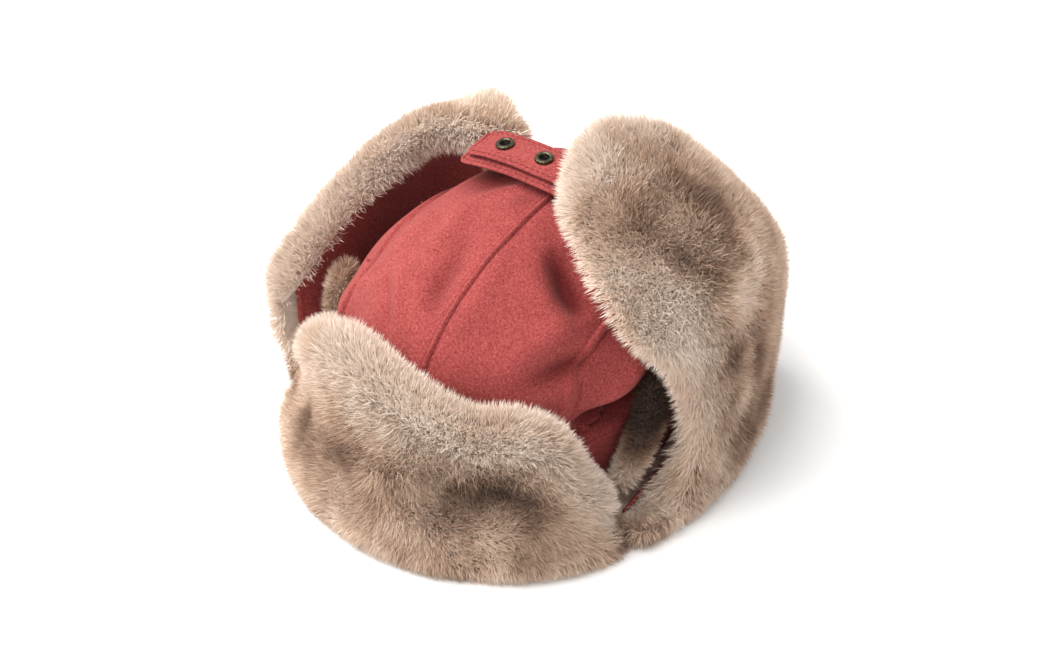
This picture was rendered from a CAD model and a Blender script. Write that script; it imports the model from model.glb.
"""Looks of a winter hat: a red wool crown with thick fur flaps turned up, on a pale floor.

Sizes are millimetres from the crown's own axis, and become metres in the frame when a mesh is made.
Angles round the hat are degrees from the front towards the wearer's left.
"""

import math

import bmesh
import bpy
import numpy as np
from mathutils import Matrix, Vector, kdtree


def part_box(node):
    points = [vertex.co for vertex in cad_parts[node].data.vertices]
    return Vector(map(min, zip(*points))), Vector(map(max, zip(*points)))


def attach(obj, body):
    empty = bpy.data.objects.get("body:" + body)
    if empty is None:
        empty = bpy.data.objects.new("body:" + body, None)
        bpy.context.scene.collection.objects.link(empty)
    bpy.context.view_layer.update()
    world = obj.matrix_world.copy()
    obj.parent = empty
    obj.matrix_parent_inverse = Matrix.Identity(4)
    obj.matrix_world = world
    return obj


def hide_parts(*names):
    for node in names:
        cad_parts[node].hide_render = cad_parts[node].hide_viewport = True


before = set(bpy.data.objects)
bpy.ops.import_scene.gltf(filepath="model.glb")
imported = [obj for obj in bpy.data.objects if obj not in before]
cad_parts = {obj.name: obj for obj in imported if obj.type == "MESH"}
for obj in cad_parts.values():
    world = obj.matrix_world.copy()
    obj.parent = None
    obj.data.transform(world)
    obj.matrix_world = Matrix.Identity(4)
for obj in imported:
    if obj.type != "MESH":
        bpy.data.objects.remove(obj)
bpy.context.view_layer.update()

MM = 0.001
BAND_LOW, BAND_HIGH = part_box("crown_band")
MIDDLE = np.array([(BAND_LOW[0] + BAND_HIGH[0]) / 2, (BAND_LOW[1] + BAND_HIGH[1]) / 2, 0.0])

# Sizes that the part has
OPENING = {"half_width": 81, "half_length": 98}
FOOT = {"half_width": 128, "half_length": 143}
WOOL = 3.0
CLOTH = 2.2
GAP = 0.5
FUR_GAP = 1.5
SHELF = 2.4
BAND_TOP = 47.0
HUG = 4.4
# The crown's rings: height, half width, half length, how far back the middle lies
CROWN_RINGS = np.array([
    [47.6, 85, 102, 0],
    [60, 91, 104.5, 0],
    [78, 91, 104, 0],
    [96, 85, 99.5, 0],
    [112, 73, 89, 1],
    [126, 56, 71, 2],
    [136.5, 35, 46, 3],
    [141.5, 16, 22, 4],
])
CROWN_TOP = 143.0
# Dents: angle, height, width in degrees, reach up, depth
DENTS = np.array([
    [-112, 116, 40, 24, 13],
    [-62, 98, 9, 26, 4],
    [-54, 77, 15, 15, -7],
    [-38, 84, 8, 22, 3],
    [22, 84, 10, 16, 2.5],
    [63, 78, 15, 21, 8],
    [66, 57, 26, 6, 6],
    [118, 92, 12, 24, 3],
    [196, 88, 14, 26, 3.5],
    [245, 96, 11, 22, 3],
])
MIDDLE_SEAM = 4.0
SIDE_SEAM = 71.0
EAR_LEFT = np.array([
    [[94, -41, 3], [101, -10, 22], [107, -4, 80], [99, -32, 125], [76, -33, 151], [47, -13, 163]],
    [[91, -6, 3], [105, 13, 42], [109, 18, 92], [101, 9, 135], [75, 8, 163], [43, 10, 176]],
    [[88, 28, 3], [104, 34, 45], [109, 40, 93], [98, 38, 134], [74, 35, 161], [42, 32, 177]],
    [[82, 58, 3], [98, 65, 44], [104, 68, 84], [90, 65, 122], [73, 59, 150], [52, 50, 169]],
    [[70, 88, 3], [85, 100, 38], [90, 102, 70], [81, 96, 97], [69, 87, 119], [57, 76, 138]],
], float)
EAR_RIGHT = np.array([
    [[-89, -46, 3], [-105, -53, 18], [-115, -55, 32], [-119, -52, 45], [-122, -50, 56]],
    [[-90, -14, 3], [-103, -18, 25], [-111, -19, 46], [-115, -18, 67], [-115, -15, 85]],
    [[-88, 18, 3], [-104, 16, 34], [-112, 13, 62], [-112, 8, 88], [-103, 5, 109]],
    [[-82, 50, 3], [-101, 52, 40], [-109, 50, 76], [-103, 41, 106], [-86, 30, 127]],
    [[-70, 82, 3], [-91, 86, 44], [-97, 82, 86], [-83, 67, 115], [-58, 45, 131]],
], float)
# The flaps that hug the crown: angle, height of the fur's crest
FRONT_ROWS = [(-53, 70), (-40, 89), (-24, 110), (-8, 113), (8, 108), (24, 100), (38, 100), (50, 86), (60, 40)]
NECK_ROWS = [(149, 84), (165, 90), (180, 92), (195, 90), (211, 84)]
# Section of the fur: share up the cloth, mm past its edge, inner face as a share of the lip, outer face as
# a share of the pile, share of the foot's outline in it, share of the overhang at a side edge
FUR_SECTION = np.array([
    [0.12, 0, 0, 1, 0.9, 0.95],
    [0.3, 0, 0, 1, 0.6, 0.8],
    [0.48, 0, 0, 1, 0.3, 0.8],
    [0.65, 0, 0, 1, 0.1, 1],
    [0.83, 0, 0, 1, 0, 1],
    [1, 0, 0, 1, 0, 1],
    [1, 6, 0.9, 0.97, 0, 1],
    [1, 14, 0.8, 0.8, 0, 1],
    [1, 19, -0.6, 0.55, 0, 1],
])
FOOT_EDGE = 1.05
SECTION_ROWS = len(FUR_SECTION) + 3
CREST_ROW = 9.2  # the section's row from which the inner face has strands too
END = 0.1  # share of a fur's width that rounds each side edge off
# pile: depth, lip: how far it wraps in over the cloth's edge, past: its reach past that edge as a share of
# the section's, side: its reach past the side edges, inset: how far its backing lies under the outer form,
# edge: the share of inset at the side edges
# hollows: across, up, width, reach up, depth
# patches: across, up, width, reach up, how much darker than the rest
FURS = {
    "front_flap": {
        "pile": 20, "lip": 0, "past": 1.0, "side": 14, "inset": 6.5, "edge": 0.6,
        "strands": 97000, "seed": 3,
        "hollows": [[0.66, 0.52, 0.1, 0.14, 7], [0.16, 0.5, 0.07, 0.16, 6], [0.4, 0.42, 0.08, 0.12, 3]],
        "patches": [
            [0.66, 0.54, 0.11, 0.1, 0.68], [0.25, 0.42, 0.06, 0.12, 0.5], [0.1, 0.42, 0.06, 0.1, 0.4],
            [0.29, 0.56, 0.05, 0.08, 0.3], [0.38, 0.46, 0.12, 0.1, 0.22], [0.5, 0.34, 0.14, 0.12, 0.16],
            [0.76, 0.4, 0.1, 0.1, 0.18], [0.46, 0.54, 0.08, 0.08, 0.18], [0.7, 0.28, 0.06, 0.08, 0.2],
            [0.54, 0.84, 0.12, 0.18, -0.2], [0.59, 0.32, 0.05, 0.08, -0.14], [0.97, 0.14, 0.04, 0.12, 0.6],
        ],
    },
    "ear_flap_left": {
        "pile": 11, "lip": 4, "past": 1.3, "side": 8, "inset": 7.5, "edge": 0.3,
        "strands": 97000, "seed": 5,
        "hollows": [[0.42, 0.82, 0.07, 0.1, 6], [0.26, 0.66, 0.12, 0.05, 5], [0.62, 0.62, 0.05, 0.2, 4]],
        "patches": [
            [0.26, 0.64, 0.09, 0.04, 0.5], [0.27, 0.57, 0.05, 0.03, 0.56], [0.12, 0.54, 0.1, 0.07, -0.3],
            [0.47, 0.6, 0.06, 0.07, 0.44], [0.16, 0.45, 0.08, 0.06, -0.24], [0.13, 0.7, 0.06, 0.03, 0.2],
            [0.45, 0.32, 0.08, 0.12, 0.4], [0.31, 0.4, 0.07, 0.06, 0.42], [0.82, 0.6, 0.12, 0.2, 0.2],
            [0.62, 0.3, 0.12, 0.14, 0.3], [0.06, 0.32, 0.04, 0.07, -0.14], [0.57, 0.62, 0.1, 0.08, 0.5],
            [0.35, 0.52, 0.05, 0.04, 0.2], [0.02, 0.08, 0.04, 0.08, 0.6],
        ],
    },
    "ear_flap_right": {
        "pile": 12, "lip": 4, "past": 1.25, "side": 15, "inset": 7.5, "edge": 0.3,
        "strands": 82000, "seed": 7,
        "hollows": [[0.3, 0.5, 0.1, 0.16, 4], [0.7, 0.6, 0.1, 0.14, 4]],
        "patches": [
            [0.72, 0.9, 0.08, 0.08, 0.2], [0.24, 0.84, 0.08, 0.1, 0.14], [0.5, 0.72, 0.1, 0.1, -0.2],
            [0.9, 0.8, 0.06, 0.12, 0.2], [0.08, 0.74, 0.06, 0.1, 0.2], [0.3, 0.5, 0.1, 0.16, 0.3],
        ],
    },
    "neck_flap": {
        "pile": 17, "lip": 0, "past": 1.0, "side": 11, "inset": 6.5, "edge": 0.6,
        "strands": 44000, "seed": 9,
        "hollows": [[0.4, 0.5, 0.14, 0.16, 5]],
        "patches": [[0.4, 0.5, 0.14, 0.16, 0.5], [0.75, 0.4, 0.12, 0.16, 0.3], [0.15, 0.6, 0.08, 0.1, 0.2]],
    },
}
TEMPLE_ROLLS = {
    "temple_fur_left": np.array([[86.5, -34, 13], [91.5, -24, 34], [94.5, -18, 56], [95, -14, 78]]),
    "temple_fur_right": np.array([[-93, -46, 15], [-96.5, -43, 34], [-98.5, -38, 52], [-99.5, -33, 68]]),
}
ROLL = {"across": 6.4, "along": 9.8, "strands": 7000}
ROLL_DARK = {"temple_fur_left": (0.15, 1.35), "temple_fur_right": (0.3, 0.4)}  # low down and high up
TAB = {"width": 24, "thick": 2.2, "corner": 5}
UPPER_TAB = {
    "middle": 24,
    "rise": np.array([[-51, 145], [-38, 149], [-20, 152], [0, 153.6], [16, 155], [34, 158]]),
}
LOWER_TAB = {
    "middle": 20,
    "rise": np.array([[-53, 140.6], [-38, 144.8], [-20, 148.2], [0, 149.8], [14, 150.2], [28, 149.6]]),
}
SNAPS = [(-33, 24.5), (-7, 24.5)]
RING = {"outer": 5.2, "inner": 2.7, "high": 1.5, "shoulder": 0.35, "under": -0.6}
# Half the stud's section, from its middle out and back: radius, height
STUD = [
    (0.02, -2), (2.55, -2), (2.6, 0.5), (2.2, 0.6),
    (1.6, 0), (0.9, -0.15), (0.6, 0.1), (0.02, 0.15),
]

# What only the looks have
# The cloths' sizes as cut flat, in metres: width, length
# How dark the fur is, from 0 to 1: all over, low down, its mottling, and how much paler its inner face is
FUR_DARK = {"all": 0.1, "low": 0.28, "broad": 0.13, "fine": 0.1, "lip_paler": 0.2}
WELT = {"wide": 3.4, "high": 1.6, "groove": 0.9}
WELT_CUTS = (-0.9, -0.4, 0, 0.35, 1, 1.7, 2.4, 3.05, 3.4, 3.8, 4.3)  # rows of vertices across a welt
STRAND = {"length": 9.6, "width": 0.46, "clump": 0.12, "clump_size": 20}
STITCH = {"length": 2.6, "pitch": 3.6, "radius": 0.28, "insets": (2.4, 5.2)}
CRUSHED_EDGE = 0.5  # how crushed the nap is on the band and along the crown's lower edge

# The photograph's camera: degrees, metres from the hat, and the photograph's pixels a millimetre
CAMERA = {"azimuth": 37.0, "elevation": 44.0, "distance": 1.9, "pixels_per_mm": 1.8}
IMAGE = {"width": 1050, "height": 672, "base_x": 527, "base_y": 400}
# The light's place from the hat, in metres to the camera's right, up in its picture and back towards it
KEY = {"place": (-1.25, 1.75, 1.35), "size": 2.7, "power": 106, "colour": (1, 0.985, 0.965)}
ROOM_LIGHT = 0.86


def weights(count, share):
    """How much each of count rows weighs on a smooth curve through them, straight beyond its ends."""
    share = np.asarray(share, float).ravel()
    held = np.clip(share, 0, 1)
    span = held * (count - 1)
    i = np.minimum(span.astype(int), count - 2)
    f = span - i
    basis = np.stack([
        0.5 * f * (f * (2 - f) - 1),
        1 + 0.5 * f * f * (3 * f - 5),
        0.5 * f * (1 + f * (4 - 3 * f)),
        0.5 * f * f * (f - 1),
    ])
    full = np.zeros((len(share), count + 2))
    rows = np.arange(len(share))
    for k in range(4):
        full[rows, i + k] += basis[k]
    inner = full[:, 1:-1].copy()
    inner[:, 0] += 2 * full[:, 0]
    inner[:, 1] -= full[:, 0]
    inner[:, -1] += 2 * full[:, -1]
    inner[:, -2] -= full[:, -1]
    under = np.minimum(share, 0) * (count - 1)
    above = np.maximum(share - 1, 0) * (count - 1)
    inner[:, 0] -= under
    inner[:, 1] += under
    inner[:, -1] += above
    inner[:, -2] -= above
    return inner


def through(rows, share):
    rows = np.asarray(rows, float)
    return weights(len(rows), share) @ rows


def flat_grid(first, second):
    """Every pair of values from two lists, as two flat arrays."""
    return (grid.ravel() for grid in np.meshgrid(first, second, indexing="ij"))


def share_grid(wide, high):
    return flat_grid(np.linspace(0, 1, wide), np.linspace(0, 1, high))


def unit(vectors):
    return vectors / np.maximum(np.linalg.norm(vectors, axis=-1, keepdims=True), 1e-9)


def smooth_noise(points, size, seed):
    """Smooth numbers from -1 to 1 that change over about size mm."""
    rng = np.random.default_rng(seed)
    total = np.zeros(len(points))
    waves = 14
    directions = unit(rng.normal(size=(waves, 3)))
    phases = rng.uniform(0, 2 * np.pi, waves)
    scales = rng.uniform(0.6, 1.7, waves)
    for direction, phase, scale in zip(directions, phases, scales):
        total += np.sin(points @ direction * 2 * np.pi / (size * scale * 2) + phase)
    return total / math.sqrt(waves / 2) / 2


def dent(angle, z):
    total = np.zeros_like(angle)
    for at, height, wide, high, deep in DENTS:
        around = (np.degrees(angle) - at + 180) % 360 - 180
        total += deep * np.exp(-((around / wide) ** 2) - ((z - height) / high) ** 2)
    return total


def crown_point(angle, share, dents=1.0):
    """The crown's outer face at an angle in radians. share runs past 1 over the top, to 2 at its middle."""
    z, half_width, half_length, back = through(CROWN_RINGS, np.minimum(share, 1)).T
    left = np.clip(2 - share, 0, 1)
    z = np.where(share > 1, CROWN_TOP - (CROWN_TOP - CROWN_RINGS[-1][0]) * left ** 2, z)
    steep = np.minimum(1, (CROWN_TOP - z) / 30)
    taken = dent(angle, z) * dents * steep
    x = (half_width - taken) * left * np.sin(angle)
    y = -(half_length - taken) * left * np.cos(angle) + back
    return np.stack([x, y, z], 1)


def hug_ribs(rows):
    """Points up the crown's outside for each row, from the flap's root to its rim."""
    low = np.array([OPENING["half_width"] + WOOL, OPENING["half_length"] + WOOL])
    ribs = []
    for degrees, crest in rows:
        angle = math.radians(degrees)
        around = np.array([math.sin(angle), -math.cos(angle)])
        z = 3 + np.linspace(0, 1, 5) * (crest - 24)
        share = np.interp(z, CROWN_RINGS[:, 0], np.linspace(0, 1, len(CROWN_RINGS)))
        above = crown_point(np.full(5, angle), share, 0)[:, :2]
        hold = np.clip((z - 12) / 34, 0, 1)[:, None]
        on = low * around * (1 - hold) + above * hold
        on = on + unit(on) * HUG
        ribs.append(np.column_stack([on, z]))
    return np.array(ribs)


RIBS = {
    "front_flap": hug_ribs(FRONT_ROWS),
    "ear_flap_left": EAR_LEFT,
    "ear_flap_right": EAR_RIGHT,
    "neck_flap": hug_ribs(NECK_ROWS),
}


def sheet_points(ribs, across, up):
    return np.einsum("mi,mj,ijk->mk", weights(len(ribs), across), weights(ribs.shape[1], up), ribs)


def sheet_frame(ribs, across, up):
    """The inner face of a flap's cloth, its slopes across and up, and the way out of it."""
    step = 0.02
    over = sheet_points(ribs, across + step, up) - sheet_points(ribs, across - step, up)
    rise = sheet_points(ribs, across, up + step) - sheet_points(ribs, across, up - step)
    out = unit(np.cross(over, rise))
    root = sheet_points(ribs, np.array([0.5, 0.52, 0.48, 0.5, 0.5]), np.array([0.2, 0.2, 0.2, 0.22, 0.18]))
    facing = unit(np.cross(root[1] - root[2], root[3] - root[4]))
    sign = 1 if facing[0] * root[0][0] + facing[1] * root[0][1] > 0 else -1
    return sheet_points(ribs, across, up), unit(over), unit(rise), out * sign


def toward(points, half_width, half_length, z):
    """Points on an ellipse at a height, in the direction of other points."""
    angle = np.arctan2(points[:, 0] / half_width, -points[:, 1] / half_length)
    z = np.broadcast_to(z, angle.shape)
    return np.column_stack([half_width * np.sin(angle), -half_length * np.cos(angle), z])


def swollen(points, share):
    """Points moved away from the crown's axis by a share."""
    return points * np.array([1 + share, 1 + share, 1])


def spots(rows, across, up):
    """A sum of soft round spots: across, up, width, reach up, strength."""
    total = np.zeros_like(across)
    for at, height, wide, high, strength in rows:
        total += strength * np.exp(-((across - at) / wide) ** 2 - ((up - height) / high) ** 2)
    return total


def fur_row(ribs, fur, share, sideways, index):
    """Both faces of the fur's backing at one row of its section."""
    inset = fur["inset"]
    wide, long = FOOT["half_width"] - inset, FOOT["half_length"] - inset
    behind = CLOTH + FUR_GAP
    if index < 3:
        point, over, _, out = sheet_frame(ribs, share, np.zeros_like(share))
        root = point + out * behind + over * (sideways * FOOT_EDGE)[:, None]
        rim = toward(root, OPENING["half_width"], OPENING["half_length"], 0 if index == 0 else SHELF)
        if index == 0:
            return rim, toward(root, wide, long, 0)
        if index == 1:
            return rim, swollen(toward(root, wide, long, SHELF), 0.012)
        standing = np.column_stack([root[:, :2], np.full(len(root), SHELF)])
        return standing, swollen(toward(root, wide, long, 9), 0.03)
    up, past, inner, outer, foot, edge = FUR_SECTION[index - 3]
    point, over, rise, out = sheet_frame(ribs, share, np.full_like(share, up))
    reach = max(0, past * fur["past"] - inset) if past else 0
    skin = point + over * (sideways * edge)[:, None] + rise * reach
    inner_face = skin + out * (-inner * fur["lip"] if past > 0 and fur["lip"] > 0 else behind)
    sunk = spots(fur["hollows"], share, index / (SECTION_ROWS - 1))
    deep = fur["pile"] - sunk - inset * (1 if past == 0 else 0.7)
    outer_face = skin + out * (behind + outer * deep)[:, None]
    rested = swollen(toward(skin, wide, long, outer_face[:, 2]), 0.035)
    rested = rested * (1 - np.column_stack([sunk, sunk, sunk * 0]) / 130)
    return inner_face, outer_face * (1 - foot) + rested * foot


def fur_surface(ribs, fur, across, up, side):
    """Points of a flap's backing. across and up run from 0 to 1, side is 0 on the inner face, else 1."""
    column = (across - END) / (1 - 2 * END)
    share = np.clip(column, 0, 1)
    beyond = np.clip(np.abs(column - share) * (1 - 2 * END) / END, 0, 1)
    turn = beyond * np.pi / 2
    sideways = max(fur["side"] - fur["inset"] * fur["edge"], 1) * np.sin(turn) * np.sign(column - 0.5)
    full = (0.12 + 0.88 * np.cos(turn))[:, None]
    rows = [fur_row(ribs, fur, share, sideways, k) for k in range(SECTION_ROWS)]
    along = weights(SECTION_ROWS, up)
    inner = np.einsum("mi,imk->mk", along, np.array([row[0] for row in rows]))
    outer = np.einsum("mi,imk->mk", along, np.array([row[1] for row in rows]))
    points = (inner + outer) / 2 * (1 - full) + (inner * (1 - side) + outer * side) * full
    points[:, 2] = np.maximum(points[:, 2], 0.3)
    return points


# Meshes and materials


def placed(points):
    return np.asarray(points, float) * MM + MIDDLE


def link(obj):
    bpy.context.scene.collection.objects.link(obj)


def make_object(name, points, faces, material, node=None):
    """A mesh in the frame from points in mm. It stands for a CAD node where one is named."""
    mesh = bpy.data.meshes.new(name)
    faces = faces.tolist() if isinstance(faces, np.ndarray) else faces
    mesh.from_pydata(placed(points).tolist(), [], faces)
    mesh.polygons.foreach_set("use_smooth", [True] * len(mesh.polygons))
    mesh.materials.append(material)
    mesh.update()
    return settle(bpy.data.objects.new(name, mesh), node)


def settle(obj, node=None):
    link(obj)
    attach(obj, "root")
    if node:
        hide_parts(node)
    return obj


def face_outwards(obj):
    work = bmesh.new()
    work.from_mesh(obj.data)
    bmesh.ops.remove_doubles(work, verts=work.verts, dist=1e-6)
    bmesh.ops.recalc_face_normals(work, faces=work.faces)
    work.to_mesh(obj.data)
    work.free()


def grid_faces(wide, high, round_across=False, round_up=False):
    """Four-sided faces over a grid of points, stored column by column."""
    i, j = flat_grid(np.arange(wide - (not round_across)), np.arange(high - (not round_up)))
    k, n = (i + 1) % wide, (j + 1) % high
    return np.column_stack([i * high + j, k * high + j, k * high + n, i * high + n])


def wall_faces(wide, high):
    """Faces of a closed wall: two grids of the same size, and the strips between their borders."""
    front = grid_faces(wide, high)
    back = front[:, ::-1] + wide * high
    grid = np.arange(wide * high).reshape(wide, high)
    border = np.concatenate([grid[:, 0], grid[-1, 1:], grid[-2::-1, -1], grid[0, -2:0:-1]])
    after = np.roll(border, -1)
    strip = np.column_stack([border, border + wide * high, after + wide * high, after])
    return np.vstack([front, back, strip])


def srgb(red, green, blue):
    """A colour as it looks on screen, from 0 to 255, as the shader takes it."""
    parts = [value / 255 for value in (red, green, blue)]
    return [part / 12.92 if part <= 0.04045 else ((part + 0.055) / 1.055) ** 2.4 for part in parts] + [1.0]


def new_material(name, roughness, metallic=0.0, sheen=0.0, specular=0.5):
    material = bpy.data.materials.new(name)
    material.use_nodes = True
    shader = material.node_tree.nodes["Principled BSDF"]
    shader.inputs["Roughness"].default_value = roughness
    shader.inputs["Metallic"].default_value = metallic
    shader.inputs["Sheen Weight"].default_value = sheen
    shader.inputs["Specular IOR Level"].default_value = specular
    return material, material.node_tree, shader


def noise_node(tree, scale, detail=3.0, roughness=0.6):
    """Noise over the object's own place, scale in features a metre."""
    where = tree.nodes.new("ShaderNodeTexCoord")
    noise = tree.nodes.new("ShaderNodeTexNoise")
    noise.inputs["Scale"].default_value = scale
    noise.inputs["Detail"].default_value = detail
    noise.inputs["Roughness"].default_value = roughness
    tree.links.new(where.outputs["Object"], noise.inputs["Vector"])
    return noise.outputs["Fac"]


def ramp_node(tree, source, stops):
    ramp = tree.nodes.new("ShaderNodeValToRGB")
    elements = ramp.color_ramp.elements
    while len(elements) < len(stops):
        elements.new(0.5)
    for element, (place, colour) in zip(elements, stops):
        element.position = place
        element.color = colour
    tree.links.new(source, ramp.inputs["Fac"])
    return ramp.outputs["Color"]


def multiply_node(tree, first, second):
    mix = tree.nodes.new("ShaderNodeMix")
    mix.data_type = "RGBA"
    mix.blend_type = "MULTIPLY"
    sockets = {socket.identifier: socket for socket in mix.inputs}
    sockets["Factor_Float"].default_value = 1.0
    tree.links.new(first, sockets["A_Color"])
    tree.links.new(second, sockets["B_Color"])
    return next(socket for socket in mix.outputs if socket.identifier == "Result_Color")


def strand_colour(tree):
    """The strand attribute's parts: darkness, place along the strand, and a random share."""
    given = tree.nodes.new("ShaderNodeVertexColor")
    given.layer_name = "strand"
    split = tree.nodes.new("ShaderNodeSeparateColor")
    tree.links.new(given.outputs["Color"], split.inputs["Color"])
    return (split.outputs[name] for name in ("Red", "Green", "Blue"))


def paint(tree, shader, colour):
    tree.links.new(colour, shader.inputs["Base Color"])


def bump_node(tree, shader, height, distance, strength=0.6):
    bump = tree.nodes.new("ShaderNodeBump")
    bump.inputs["Distance"].default_value = distance
    bump.inputs["Strength"].default_value = strength
    tree.links.new(height, bump.inputs["Height"])
    tree.links.new(bump.outputs["Normal"], shader.inputs["Normal"])


def wool_material():
    """Brushed red melton: fine fibre speckle over soft clouds, darker where its nap is crushed."""
    material, tree, shader = new_material("red_wool_melton", 0.95, sheen=0.18, specular=0.15)
    shader.inputs["Sheen Tint"].default_value = srgb(255, 190, 180)
    fibre = noise_node(tree, 850, 4, 0.75)
    reds = [(0.34, srgb(132, 49, 48)), (0.52, srgb(164, 74, 72)), (0.7, srgb(190, 101, 96))]
    speckle = ramp_node(tree, fibre, reds)
    cloud = noise_node(tree, 60, 3)
    shade = ramp_node(tree, cloud, [(0.3, (0.86, 0.84, 0.84, 1)), (0.7, (1, 1, 1, 1))])
    given = tree.nodes.new("ShaderNodeAttribute")
    given.attribute_name = "hollow"
    crushed = ramp_node(tree, given.outputs["Fac"], [(0.1, (1, 1, 1, 1)), (0.9, (0.36, 0.24, 0.25, 1))])
    paint(tree, shader, multiply_node(tree, multiply_node(tree, speckle, shade), crushed))
    bump_node(tree, shader, noise_node(tree, 1700, 4, 0.8), 0.0006, 0.55)
    return material


def mottled_material(name, roughness, metallic, mottling, shades, rough_scale, rough_depth, strength):
    """A plain stuff of two shades, mottled at a scale with some detail, and slightly rough."""
    material, tree, shader = new_material(name, roughness, metallic)
    paint(tree, shader, ramp_node(tree, noise_node(tree, *mottling), shades))
    bump_node(tree, shader, noise_node(tree, rough_scale), rough_depth, strength)
    return material


def fur_colour(tree, dark):
    """The fur's colour from its darkness: pale beige to dark brown."""
    return ramp_node(tree, dark, [
        (0.0, srgb(253, 240, 228)),
        (0.3, srgb(242, 222, 204)),
        (0.55, srgb(206, 177, 155)),
        (0.8, srgb(138, 110, 92)),
        (1.0, srgb(84, 65, 54)),
    ])


def pile_material():
    """Fur strands: darker towards their roots, and each a little paler or darker than its neighbours."""
    material, tree, shader = new_material("fur_pile", 0.85, sheen=0.1, specular=0.2)
    dark, along, chance = strand_colour(tree)
    base = fur_colour(tree, dark)
    shades = [(0.0, (0.76, 0.7, 0.66, 1)), (0.5, (0.95, 0.93, 0.91, 1)), (1.0, (1, 1, 1, 1))]
    depth = ramp_node(tree, along, shades)
    varied = ramp_node(tree, chance, [(0.0, (0.88, 0.86, 0.84, 1)), (1.0, (1.08, 1.08, 1.08, 1))])
    colour = multiply_node(tree, multiply_node(tree, base, depth), varied)
    fine = ramp_node(tree, noise_node(tree, 700), [(0.3, (0.94, 0.94, 0.94, 1)), (0.7, (1, 1, 1, 1))])
    paint(tree, shader, multiply_node(tree, colour, fine))
    return material


def backing_material():
    """The dense lower pile between the strands."""
    material, tree, shader = new_material("fur_backing", 1.0, specular=0.1)
    dark, _, _ = strand_colour(tree)
    shades = [(0.3, (0.7, 0.65, 0.61, 1)), (0.7, (0.92, 0.89, 0.86, 1))]
    shade = ramp_node(tree, noise_node(tree, 420, 4, 0.7), shades)
    paint(tree, shader, multiply_node(tree, fur_colour(tree, dark), shade))
    bump_node(tree, shader, noise_node(tree, 600, 4, 0.8), 0.002, 0.8)
    return material


THREAD_REDS = [(0.3, srgb(150, 48, 50)), (0.7, srgb(190, 78, 78))]
BRASS_TONES = [(0.35, srgb(50, 45, 35)), (0.7, srgb(116, 110, 88))]
DARK_TONES = [(0.35, srgb(12, 10, 9)), (0.75, srgb(34, 31, 27))]

WOOL_CLOTH = wool_material()
THREAD = mottled_material("red_thread", 0.7, 0.0, (900, 3), THREAD_REDS, 2600, 0.0002, 0.6)
PILE = pile_material()
BACKING = backing_material()
BRASS = mottled_material("antique_brass", 0.38, 1.0, (900, 5), BRASS_TONES, 1500, 0.0001, 0.4)
DARK_METAL = mottled_material("dark_metal", 0.35, 1.0, (1200, 4), DARK_TONES, 2000, 0.0001, 0.4)


# Crown


def welt_height(x, seam):
    """The raised seam allowance beside a seam, with the groove of its stitching on both sides."""
    along = (x - seam) / WELT["wide"]
    bulge = np.sin(np.clip(along, 0, 1) * np.pi) ** 0.6 * (1.2 - 0.5 * along)
    ridge = np.where((along > 0) & (along < 1), bulge, 0) * WELT["high"]
    grooves = 0.3 * np.exp(-((x - seam) / 0.5) ** 2) + np.exp(-((x - seam - WELT["wide"]) / 0.6) ** 2)
    return ridge - grooves * WELT["groove"]


SEAMS = (-SIDE_SEAM, MIDDLE_SEAM, SIDE_SEAM - WELT["wide"])
# Soft folds of the crown: width, height, path on it. One with a negative height is a valley.
FOLDS = [
    (2.2, 2.2, [(-8, 16, 142), (-14, 9, 142), (-21, 0, 140), (-30, -10, 137)]),
    (6, -2.6, [(-12, 26, 142), (-22, 16, 141), (-30, 6, 139), (-38, -4, 136)]),
    (6, 2.2, [(-24, -5, 139), (-29, -19, 137), (-27, -31, 135), (-26, -56, 128)]),
    (7, -4.4, [(-14, -28, 138), (-10, -52, 132), (-8, -68, 126), (-4, -82, 118)]),
    (7, 2.2, [(8, -28, 139), (13, -50, 133), (15, -70, 125), (14, -84, 116)]),
    (3.5, -2.0, [(-51, -56, 114), (-38, -70, 115), (-28, -85, 109), (-25, -91, 103)]),
    (5, 2.2, [(-42, -58, 120), (-30, -72, 118), (-21, -85, 111)]),
    (3.5, 1.5, [(-50, -54, 116), (-62, -60, 102), (-66, -64, 94)]),
    (9, 2.4, [(-42, -16, 134), (-50, -34, 125), (-54, -50, 113)]),
    (8, -10.5, [(26, -12, 139), (40, -22, 132), (51, -28, 125), (63, -29, 116)]),
    (8, 3.4, [(60, -36, 117), (54, -52, 116), (46, -72, 107)]),
    (8, -6.4, [(74, -38, 98), (66, -53, 102), (54, -76, 96)]),
    (6, 4.6, [(80, -10, 103), (84, -19, 86), (80, -32, 76), (73, -45, 74)]),
    (9, -13.0, [(92, 6, 84), (91, -10, 68), (85, -25, 60), (76, -41, 60), (66, -56, 63)]),
    (9, 2.8, [(16, 50, 136), (44, 68, 112), (62, 68, 90)]),
    (8, -2.8, [(-6, 66, 132), (-2, 92, 108), (4, 104, 84)]),
    (9, 2.6, [(-24, 60, 132), (-46, 76, 106), (-60, 78, 84)]),
]

# Places where the nap is crushed under the flaps' edges: x, y, z, radius, share
CRUSHED = [(85, -4, 101, 13, 0.7), (-35, 13, 137, 16, 0.9), (-3, 1, 143, 8, 0.5), (92, 14, 80, 16, 0.8)]


def fold_height(points):
    total = np.zeros(len(points))
    share = np.linspace(0, 1, 40)
    for wide, high, path in FOLDS:
        far = np.linalg.norm(points[:, None] - through(path, share)[None], axis=2)
        fade = np.sin(np.pi * np.clip(share[far.argmin(1)], 0.03, 0.97)) ** 0.7
        total += high * fade * np.exp(-((far.min(1) / wide) ** 2))
    return total


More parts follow.
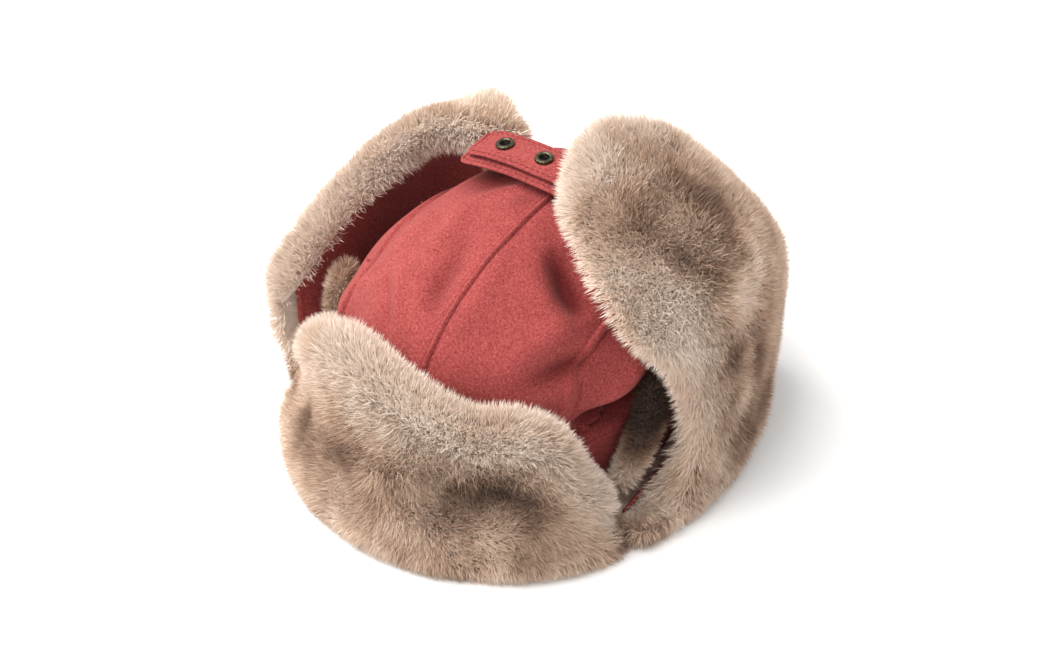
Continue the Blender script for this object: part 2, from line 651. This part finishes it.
def crushed_nap(points, folds):
    """How crushed the nap is, from 0 to 1: at the crown's lower edge, in valleys and under the flaps."""
    lowest = np.clip((58 - points[:, 2]) / 8, 0, 1) * CRUSHED_EDGE
    crushed = np.maximum(lowest, np.clip(-folds / 9, 0, 1))
    for x, y, z, radius, share in CRUSHED:
        far = np.linalg.norm(points - [x, y, z], axis=1)
        crushed = np.maximum(crushed, share * np.exp(-((far / radius) ** 2)))
    return crushed


def crown_dome():
    """The whole crown's outer face as a bmesh in mm, cut along its seams and shaped by them."""
    sides, rows = 200, 72
    shares = np.concatenate([np.linspace(0, 1, rows), 1 + np.linspace(0, 0.985, 9)[1:]])
    angles = np.linspace(0, 2 * np.pi, sides, endpoint=False)
    points = crown_point(*flat_grid(angles, shares))
    work = bmesh.new()
    hollow = work.verts.layers.float.new("hollow")
    verts = [work.verts.new(point) for point in points]
    for face in grid_faces(sides, len(shares), round_across=True):
        work.faces.new([verts[k] for k in face])
    work.faces.new([verts[i * len(shares) + len(shares) - 1] for i in range(sides)])
    for seam in SEAMS:
        for offset in WELT_CUTS:
            everything = [*work.verts, *work.edges, *work.faces]
            place = (seam + offset, 0, 0)
            bmesh.ops.bisect_plane(work, geom=everything, dist=1e-4, plane_co=place, plane_no=(1, 0, 0))
    work.normal_update()
    work.verts.ensure_lookup_table()
    points = np.array([vert.co for vert in work.verts])
    normals = np.array([vert.normal for vert in work.verts])
    folds = fold_height(points) * np.clip((points[:, 2] - 48) / 9, 0, 1)
    high = sum(welt_height(points[:, 0], seam) for seam in SEAMS)
    high = high + folds + 0.35 * smooth_noise(points, 24, 2) * np.clip((points[:, 2] - 50) / 20, 0, 1)
    sign = 1 if (normals * (points - [0, 0, 60])).sum() > 0 else -1
    for vert, normal, height in zip(work.verts, normals, high):
        vert.co = vert.co + Vector(normal * height * sign)
    crushed = crushed_nap(np.array([vert.co for vert in work.verts]), folds)
    for vert, share in zip(work.verts, crushed):
        vert[hollow] = share
    return work


def make_crown():
    """Four sewn panels of wool."""
    dome = crown_dome()
    # name, lowest and highest x
    panels = [
        ("crown_side_right", -200, -SIDE_SEAM),
        ("crown_top_right", -SIDE_SEAM, MIDDLE_SEAM),
        ("crown_top_left", MIDDLE_SEAM, SIDE_SEAM),
        ("crown_side_left", SIDE_SEAM, 200),
    ]
    for name, low, high in panels:
        work = dome.copy()
        outside = [face for face in work.faces if not low < face.calc_center_median().x < high]
        bmesh.ops.delete(work, geom=outside, context="FACES")
        bmesh.ops.recalc_face_normals(work, faces=work.faces)
        core = Vector((0, 0, 60))
        if sum(face.normal.dot(face.calc_center_median() - core) for face in work.faces) < 0:
            bmesh.ops.reverse_faces(work, faces=work.faces)
        for vert in work.verts:
            vert.co = Vector(placed(np.array(vert.co)))
        mesh = bpy.data.meshes.new(name + "_cloth")
        work.to_mesh(mesh)
        work.free()
        mesh.materials.append(WOOL_CLOTH)
        mesh.polygons.foreach_set("use_smooth", [True] * len(mesh.polygons))
        obj = settle(bpy.data.objects.new(name + "_cloth", mesh), name)
        solid = obj.modifiers.new("wall", "SOLIDIFY")
        solid.thickness = WOOL * MM
        solid.offset = -1
    dome.free()


def tell_crushed(mesh, values):
    mesh.attributes.new("hollow", "FLOAT", "POINT").data.foreach_set("value", values)


def make_band():
    sides, rows = 160, 14
    around, up, side = np.meshgrid(np.arange(sides) / sides, np.linspace(0, 1, rows), [0, 1], indexing="ij")
    angle = around * 2 * np.pi
    z = SHELF + GAP + up * (BAND_TOP + 0.4 - SHELF - GAP)
    x = (OPENING["half_width"] + side * WOOL) * np.sin(angle)
    y = -(OPENING["half_length"] + side * WOOL) * np.cos(angle)
    grid = np.stack([x, y, z], -1)
    points = np.vstack([grid[:, :, 0].reshape(-1, 3), grid[:, :, 1].reshape(-1, 3)])
    skin = grid_faces(sides, rows, round_across=True)
    count = sides * rows
    ends = []
    for row in (0, rows - 1):
        k = np.arange(sides) * rows + row
        ends.append(np.column_stack([k, np.roll(k, -1), np.roll(k, -1) + count, k + count]))
    faces = np.vstack([skin, skin[:, ::-1] + count, *ends])
    obj = make_object("crown_band_cloth", points, faces, WOOL_CLOTH, "crown_band")
    tell_crushed(obj.data, np.full(len(points), CRUSHED_EDGE))
    face_outwards(obj)


# Cloth of the flaps


def make_cloth(name):
    wide, high = 90, 60
    ribs = RIBS[name]
    across, up = share_grid(wide, high)
    point, _, _, out = sheet_frame(ribs, across, up)
    inside = np.sin(np.pi * across) * np.sin(np.pi * up)
    sway = (0.7 * smooth_noise(point, 26, 4) * inside)[:, None] * out
    edge = np.minimum.reduce([across * 180, (1 - across) * 180, (1 - up) * 110, up * 110 + 2])
    hem = (0.45 * np.exp(-(((edge - 6) / 0.8) ** 2)))[:, None] * out
    round_off = (np.clip(1.2 - edge, 0, 1.2) * 0.6)[:, None] * out
    points = np.vstack([point + sway + hem + round_off, point + sway - round_off + out * CLOTH])
    points[:, 2] = np.maximum(points[:, 2], SHELF + GAP)
    obj = make_object(name + "_cloth", points, wall_faces(wide, high), WOOL_CLOTH, name)
    face_outwards(obj)


# Fur


def lay_of(ribs, across, up):
    """Which way the pile lies: away from the flap's middle, and up and out over its crest."""
    column = np.clip((across - END) / (1 - 2 * END), 0, 1)
    _, over, rise, _ = sheet_frame(ribs, column, np.clip(up * 1.2 - 0.2, 0, 1))
    sideways = (across - 0.5) * 1.8
    upwards = (up - 0.42) * 2.6
    return over * sideways[:, None] + rise * upwards[:, None]


def fur_patches(fur, points, across, up):
    """How dark the fur is, from 0 to 1: pale with darker patches, and mottled all over."""
    low = FUR_DARK["low"] * np.clip((0.66 - up) / 0.3, 0, 1)
    broad = FUR_DARK["broad"] * smooth_noise(points, 17, fur["seed"])
    fine = FUR_DARK["fine"] * smooth_noise(points, 7, fur["seed"] + 50)
    return np.clip(FUR_DARK["all"] + spots(fur["patches"], across, up) + low + (broad + fine), 0, 1)


def strand_mesh(name, roots, normals, lays, dark, rng, scale=1.0):
    """Strands in clumps, widest in the middle: two triangles each."""
    count = len(roots)
    length = STRAND["length"] * scale * rng.uniform(0.75, 1.15, count)[:, None]
    stray = rng.normal(size=(count, 3)) * 0.22
    first = unit(normals * 0.8 + lays * 0.35 + stray)
    second = unit(normals * 0.5 + lays * 0.55 + stray * 1.2)
    middle = roots + first * length * 0.5
    tip = middle + second * length * 0.5
    clumps = max(1, count // STRAND["clump_size"])
    chosen = rng.choice(count, clumps, replace=False)
    tree = kdtree.KDTree(clumps)
    for k, index in enumerate(chosen):
        tree.insert(roots[index], k)
    tree.balance()
    home = np.array([tree.find(root)[1] for root in roots])
    pull = STRAND["clump"] * rng.uniform(0.5, 1.1, count)[:, None]
    tip = tip + (tip[chosen][home] - tip) * pull
    middle = middle + (middle[chosen][home] - middle) * pull * 0.35
    turn = rng.uniform(-0.3, 0.3, count)[:, None]
    side = unit(np.cross(first, normals) + 1e-4)
    side = unit(side * np.cos(turn) + np.cross(first, side) * np.sin(turn))
    width = STRAND["width"] * rng.uniform(0.75, 1.2, count)[:, None] * scale ** 0.5
    low = roots - normals * 1.5
    points = np.stack([low, middle - side * width * 0.5, middle + side * width * 0.5, tip], 1).reshape(-1, 3)
    points[:, 2] = np.maximum(points[:, 2], 0.25)
    start = np.arange(count)[:, None] * 4
    faces = np.vstack([start + [0, 2, 1], start + [1, 2, 3]])
    order = np.argsort(np.concatenate([start[:, 0]] * 2), kind="stable")
    obj = make_object(name, points, faces[order], PILE)
    tell_strands(obj.data, dark, rng.uniform(0, 1, count))


def tell_colours(mesh, colours):
    layer = mesh.color_attributes.new("strand", "FLOAT_COLOR", "POINT")
    layer.data.foreach_set("color", colours.ravel())


def tell_dark(mesh, dark):
    colours = np.ones((len(dark), 4))
    colours[:, 0] = dark
    tell_colours(mesh, colours)


def tell_strands(mesh, dark, chance):
    """Stores each strand's darkness, place along it and random share, and its own cell of a map."""
    count = len(dark)
    colours = np.ones((count, 4, 4))
    colours[:, :, 0] = dark[:, None]
    colours[:, :, 1] = [0.0, 0.55, 0.55, 1.0]
    colours[:, :, 2] = chance[:, None]
    tell_colours(mesh, colours)
    cells = math.ceil(math.sqrt(count))
    corner = np.column_stack([np.arange(count) % cells, np.arange(count) // cells])[:, None, :]
    shape = np.array([[0.5, 0.1], [0.25, 0.5], [0.75, 0.5], [0.5, 0.9]])
    uv = ((corner + shape) / cells).reshape(-1, 2)
    loops = np.empty(len(mesh.loops), int)
    mesh.loops.foreach_get("vertex_index", loops)
    mesh.uv_layers.new(name="OFBake").data.foreach_set("uv", uv[loops].ravel())


def crossed(points, faces):
    """A normal of each triangle, twice as long as its area."""
    corners = points[faces]
    return np.cross(corners[:, 1] - corners[:, 0], corners[:, 2] - corners[:, 0])


def scatter(points, faces, share, count, rng):
    """Random places on triangles, in proportion to area times a share: triangle, three weights."""
    chance = np.linalg.norm(crossed(points, faces), axis=1) * share[faces].mean(1)
    pick = np.sort(rng.choice(len(faces), count, p=chance / chance.sum()))
    u, v = rng.uniform(size=(2, count))
    flip = u + v > 1
    u, v = np.where(flip, 1 - u, u), np.where(flip, 1 - v, v)
    return pick, np.column_stack([1 - u - v, u, v])


def blend(values, corners, shares):
    """Values at places on triangles, from the values at the triangles' corners."""
    return np.einsum("mi,mik->mk", shares, values[corners])


def halved(faces):
    """Two triangles for each four-sided face."""
    return np.vstack([faces[:, [0, 1, 2]], faces[:, [0, 2, 3]]])


def vertex_normals(points, faces):
    normal = crossed(points, faces)
    total = np.zeros_like(points)
    for k in range(3):
        np.add.at(total, faces[:, k], normal)
    return unit(total)


def make_backing(node, points, faces, dark):
    obj = make_object(node + "_backing", points, faces, BACKING, node)
    tell_dark(obj.data, dark)
    face_outwards(obj)


def make_fur(name):
    """A flap's fur: a backing with the fur's form, and its pile of strands."""
    fur, ribs = FURS[name], RIBS[name]
    rng = np.random.default_rng(fur["seed"])
    wide, high = 96, 54
    across, up = share_grid(wide, high)
    points = np.vstack([fur_surface(ribs, fur, across, up, side) for side in (0, 1)])
    faces = wall_faces(wide, high)
    node = name + "_fur"
    both_across, both_up = np.tile(across, 2), np.tile(up, 2)
    outer = np.repeat([0, 1], wide * high)
    dark = fur_patches(fur, points, both_across, both_up) - FUR_DARK["lip_paler"] * (1 - outer)
    make_backing(node, points, faces, dark)
    triangles = halved(faces)
    corners = points[triangles]
    if np.einsum("ij,ij->i", corners[:, 0], np.cross(corners[:, 1], corners[:, 2])).sum() < 0:
        triangles = triangles[:, ::-1]
    normals = vertex_normals(points, triangles)
    crest = both_up > CREST_ROW / (SECTION_ROWS - 1)
    beside = np.abs(both_across - 0.5) > 0.5 - END * 0.45
    hairy = np.where(outer == 1, (both_up > 0.07) * 1.0, np.maximum(crest * 0.9, beside * 0.5))
    lays = lay_of(ribs, both_across, both_up)
    pick, shares = scatter(points, triangles, hairy, fur["strands"], rng)
    chosen = triangles[pick]
    swirl = np.column_stack([smooth_noise(points, 22, fur["seed"] + k) for k in (11, 12, 13)]) * 0.35
    strand_mesh(
        node + "_pile",
        blend(points, chosen, shares),
        unit(blend(normals, chosen, shares)),
        blend(unit(lays + swirl), chosen, shares),
        np.clip(blend(dark[:, None], chosen, shares)[:, 0] + rng.normal(size=len(pick)) * 0.05, 0, 1),
        rng,
    )


def roll_dark(name, points, seed):
    low, high = TEMPLE_ROLLS[name][[0, -1], 2]
    share = (points[:, 2] - low) / (high - low)
    dark = np.interp(share, [0.2, 0.8], ROLL_DARK[name])
    return np.clip(dark + 0.15 * smooth_noise(points, 9, seed), 0, 1)


def make_roll(name, seed):
    """A small roll of fur in the gap beside an ear flap."""
    centres = TEMPLE_ROLLS[name]
    rng = np.random.default_rng(seed)
    sides, rows = 24, 30
    share, around = flat_grid(np.linspace(0, 1, rows), np.arange(sides) / sides)
    full = np.sqrt(np.clip(1 - (2 * share - 1) ** 6 * 0.97, 0, 1))
    middle = through(centres, share)
    angle = around * 2 * np.pi
    half = np.column_stack([(ROLL["across"] - 2.4) * np.cos(angle), (ROLL["along"] - 2.8) * np.sin(angle)])
    ways = np.column_stack([half, np.zeros_like(angle)])
    points = middle + ways * full[:, None]
    faces = grid_faces(rows, sides, round_up=True)
    caps = [list(range(sides)), list(range((rows - 1) * sides, rows * sides))]
    make_backing(name, points, faces.tolist() + caps, roll_dark(name, points, seed))
    triangles = halved(faces)
    if (vertex_normals(points, triangles) * ways).sum() < 0:
        triangles = triangles[:, ::-1]
    normals = vertex_normals(points, triangles)
    pick, shares = scatter(points, triangles, np.ones(len(points)), ROLL["strands"], rng)
    chosen = triangles[pick]
    roots = blend(points, chosen, shares)
    lays = blend(np.tile([0.0, 0.0, 0.8], (len(points), 1)), chosen, shares)
    dark = roll_dark(name, roots, seed)
    strand_mesh(name + "_pile", roots, unit(blend(normals, chosen, shares)), lays, dark, rng, 0.8)


# Snap tab


def tab_rise(tab, x):
    rise = tab["rise"]
    share = np.interp(x, rise[:, 0], np.linspace(0, 1, len(rise)))
    return through(rise, share)[:, 1]


def tab_half(tab, x):
    """Half the tab's width at a place along it, less at its rounded end."""
    into = np.clip(TAB["corner"] - (x - tab["rise"][0][0]), 0, TAB["corner"])
    return TAB["width"] / 2 - (TAB["corner"] - np.sqrt(TAB["corner"] ** 2 - into ** 2))


def make_tab(name, tab):
    wide, high = 120, 44
    start, end = tab["rise"][0][0], tab["rise"][-1][0]
    along, over = flat_grid(np.linspace(0, 1, wide), np.linspace(-1, 1, high))
    x = start + along ** 1.15 * (end - start)
    half = tab_half(tab, x)
    y = tab["middle"] + over * half
    z = tab_rise(tab, x)
    edge = np.minimum.reduce([(1 - np.abs(over)) * half, x - start, np.full_like(x, 9)])
    pucker = 0.26 * np.sin(x * 1.75 + over * 2) * np.exp(-(((edge - 2.6) / 1.7) ** 2))
    near, far = STITCH["insets"]
    seam = -0.55 * np.exp(-(((edge - near) / 0.6) ** 2)) - 0.35 * np.exp(-(((edge - far) / 0.5) ** 2))
    thick = TAB["thick"] / 2 * np.sqrt(np.clip(1 - (1 - np.clip(edge / 1.2, 0, 1)) ** 2, 0.02, 1))
    points = np.vstack([
        np.column_stack([x, y, z + thick + seam + pucker]),
        np.column_stack([x, y, z - thick - seam * 0.5 + pucker]),
    ])
    obj = make_object(name + "_cloth", points, wall_faces(wide, high), WOOL_CLOTH, name)
    tell_crushed(obj.data, np.concatenate([-seam, np.zeros_like(seam)]))
    face_outwards(obj)


def tab_lines(tab):
    """Lines of topstitching along a tab's long edges and across its rounded end."""
    start, end = tab["rise"][0][0], tab["rise"][-1][0]
    lines = []
    for inset in STITCH["insets"]:
        t = np.linspace(start + inset, end, 160)
        for side in (-1, 1):
            beside = side * (tab_half(tab, t) - inset)
            lines.append(np.column_stack([t, tab["middle"] + beside, tab_rise(tab, t)]))
        s = np.linspace(-1, 1, 40) * (tab_half(tab, np.array([start + inset]))[0] - inset)
        at = np.full(40, start + inset)
        lines.append(np.column_stack([at, tab["middle"] + s, tab_rise(tab, at)]))
    for line in lines:
        line[:, 2] += TAB["thick"] / 2 - 0.25
    return lines


def stitch_mesh(name, lines):
    """Threads along lines on the cloth: each stitch a small closed spindle."""
    sides = 5
    angle = np.arange(sides)[:, None] * 2 * np.pi / sides
    points, faces = [], []
    for line in lines:
        steps = np.linalg.norm(np.diff(line, axis=0), axis=1)
        far = np.concatenate([[0], np.cumsum(steps)])
        for middle in np.arange(STITCH["pitch"] / 2, far[-1], STITCH["pitch"]):
            ends = [middle - STITCH["length"] / 2, middle, middle + STITCH["length"] / 2]
            centres = np.column_stack([np.interp(ends, far, line[:, k]) for k in range(3)])
            way = unit(centres[2] - centres[0])
            one = unit(np.cross(way, [0.3, 0.2, 1.0]))
            ring = (one * np.cos(angle) + np.cross(way, one) * np.sin(angle)) * STITCH["radius"]
            base = len(points)
            last = base + 1 + 3 * sides
            points += [centres[0], *(centres[0] + ring * 0.6), *(centres[1] + ring)]
            points += [*(centres[2] + ring * 0.6), centres[2]]
            for k in range(sides):
                n = (k + 1) % sides
                faces.append([base, base + 1 + n, base + 1 + k])
                for row in (0, 1):
                    low = base + 1 + row * sides
                    faces.append([low + k, low + n, low + sides + n, low + sides + k])
                faces.append([last, last - sides + k, last - sides + n])
    obj = make_object(name, np.array(points), faces, THREAD)
    face_outwards(obj)


def seam_lines():
    """Lines of topstitching beside the crown's seams, from front to back over the top."""
    lines = []
    for seam in SEAMS:
        x = seam + WELT["wide"] + 1.0
        share = np.linspace(0.02, 1.9, 900)
        half = np.abs(crown_point(np.full(900, np.pi / 2), share, 0)[:, 0])
        share = share[half > abs(x) + 0.3]
        half = half[half > abs(x) + 0.3]
        front, back = np.arcsin(x / half), np.pi - np.arcsin(x / half)
        reach = np.maximum(half, 20)
        for _ in range(6):
            front = np.clip(front + (x - crown_point(front, share)[:, 0]) / reach, -1.5, 1.5)
            back = back - (x - crown_point(back, share)[:, 0]) / reach
        line = np.vstack([crown_point(front, share), crown_point(back, share)[::-1]])
        lines.append(line + unit(line - [0, 0, 60]) * 0.05)
    return lines


def lathe(name, profile, sides, centre, slope, material, node):
    """A round piece from a closed profile of radius and height, tilted with the tab."""
    k, j = flat_grid(np.arange(sides), np.arange(len(profile)))
    radius, height = np.array(profile)[j].T
    angle = k * 2 * np.pi / sides
    tilt = math.atan(slope)
    flat = radius * np.cos(angle)
    x = flat * math.cos(tilt) - height * math.sin(tilt)
    z = flat * math.sin(tilt) + height * math.cos(tilt)
    points = np.column_stack([x, radius * np.sin(angle), z])
    faces = grid_faces(sides, len(profile), round_across=True, round_up=True)
    obj = make_object(name, points + centre, faces, material, node)
    face_outwards(obj)


def make_snap(index, x, y):
    """A ring snap with a rolled edge, and the dark stud inside it."""
    z = tab_rise(UPPER_TAB, np.array([x]))[0] + TAB["thick"] / 2 + GAP * 0.8
    pair = tab_rise(UPPER_TAB, np.array([x - 3, x + 3]))
    slope = (pair[1] - pair[0]) / 6
    middle, half = (RING["outer"] + RING["inner"]) / 2, (RING["outer"] - RING["inner"]) / 2
    arc = np.linspace(0, np.pi, 12)
    low, rise = RING["shoulder"], RING["high"] - RING["shoulder"]
    top = [(middle + half * math.cos(a), low + rise * math.sin(a) ** 0.8) for a in arc]
    ring = [(RING["outer"], RING["under"]), *top, (RING["inner"], RING["under"])]
    centre = np.array([x, y, z])
    lathe(f"snap_ring_{index}_trim", ring, 48, centre, slope, BRASS, f"snap_ring_{index}")
    lathe(f"snap_stud_{index}_trim", STUD, 32, centre, slope, DARK_METAL, f"snap_stud_{index}")


# Camera, light and floor


def camera_ways():
    a, e = math.radians(CAMERA["azimuth"]), math.radians(CAMERA["elevation"])
    right = Vector((math.cos(a), math.sin(a), 0))
    back = Vector((math.sin(a) * math.cos(e), -math.cos(a) * math.cos(e), math.sin(e)))
    return right, back.cross(right), back


def make_camera():
    _, _, back = camera_ways()
    data = bpy.data.cameras.new("camera")
    data.sensor_width = 36
    data.lens = CAMERA["pixels_per_mm"] * CAMERA["distance"] / MM / IMAGE["width"] * data.sensor_width
    data.shift_x = (IMAGE["width"] / 2 - IMAGE["base_x"]) / IMAGE["width"]
    data.shift_y = (IMAGE["base_y"] - IMAGE["height"] / 2) / IMAGE["width"]
    camera = bpy.data.objects.new("camera", data)
    camera.location = Vector(MIDDLE) + back * CAMERA["distance"]
    camera.rotation_euler = back.to_track_quat("Z", "Y").to_euler()
    link(camera)
    bpy.context.scene.camera = camera


def make_light():
    """A wide soft light above the hat, to the photograph's left, and an evenly lit room round it."""
    data = bpy.data.lights.new("key", "AREA")
    data.size = KEY["size"]
    data.energy = KEY["power"]
    data.color = KEY["colour"]
    light = bpy.data.objects.new("key", data)
    right, up, back = camera_ways()
    way = right * KEY["place"][0] + up * KEY["place"][1] + back * KEY["place"][2]
    light.location = Vector(MIDDLE) + Vector((0, 0, 0.07)) + way
    light.rotation_euler = way.to_track_quat("Z", "Y").to_euler()
    link(light)
    world = bpy.data.worlds.new("studio")
    world.use_nodes = True
    world.node_tree.nodes["Background"].inputs["Color"].default_value = (1, 1, 1, 1)
    world.node_tree.nodes["Background"].inputs["Strength"].default_value = ROOM_LIGHT
    bpy.context.scene.world = world


def make_floor():
    material, tree, shader = new_material("paper_floor", 0.9, specular=0.1)
    whites = [(0.3, (0.93, 0.93, 0.93, 1)), (0.7, (0.95, 0.95, 0.945, 1))]
    paint(tree, shader, ramp_node(tree, noise_node(tree, 3), whites))
    far = 4000
    corners = np.array([[-far, -far, 0], [far, -far, 0], [far, far, 0], [-far, far, 0]], float)
    mesh = bpy.data.meshes.new("floor")
    mesh.from_pydata(placed(corners).tolist(), [], [[0, 1, 2, 3]])
    mesh.materials.append(material)
    floor = bpy.data.objects.new("floor", mesh)
    link(floor)
    bpy.context.scene.view_settings.view_transform = "Standard"
    bpy.context.scene.view_settings.look = "None"


def make_hat():
    make_crown()
    make_band()
    for name in RIBS:
        make_cloth(name)
    make_tab("snap_tab_upper", UPPER_TAB)
    make_tab("snap_tab_lower", LOWER_TAB)
    stitch_mesh("tab_stitches", tab_lines(UPPER_TAB))
    stitch_mesh("crown_stitches", seam_lines())
    for index, (x, y) in enumerate(SNAPS):
        make_snap(index + 1, x, y)
    for name in FURS:
        make_fur(name)
    make_roll("temple_fur_left", 11)
    make_roll("temple_fur_right", 13)


make_camera()
make_light()
make_floor()
make_hat()
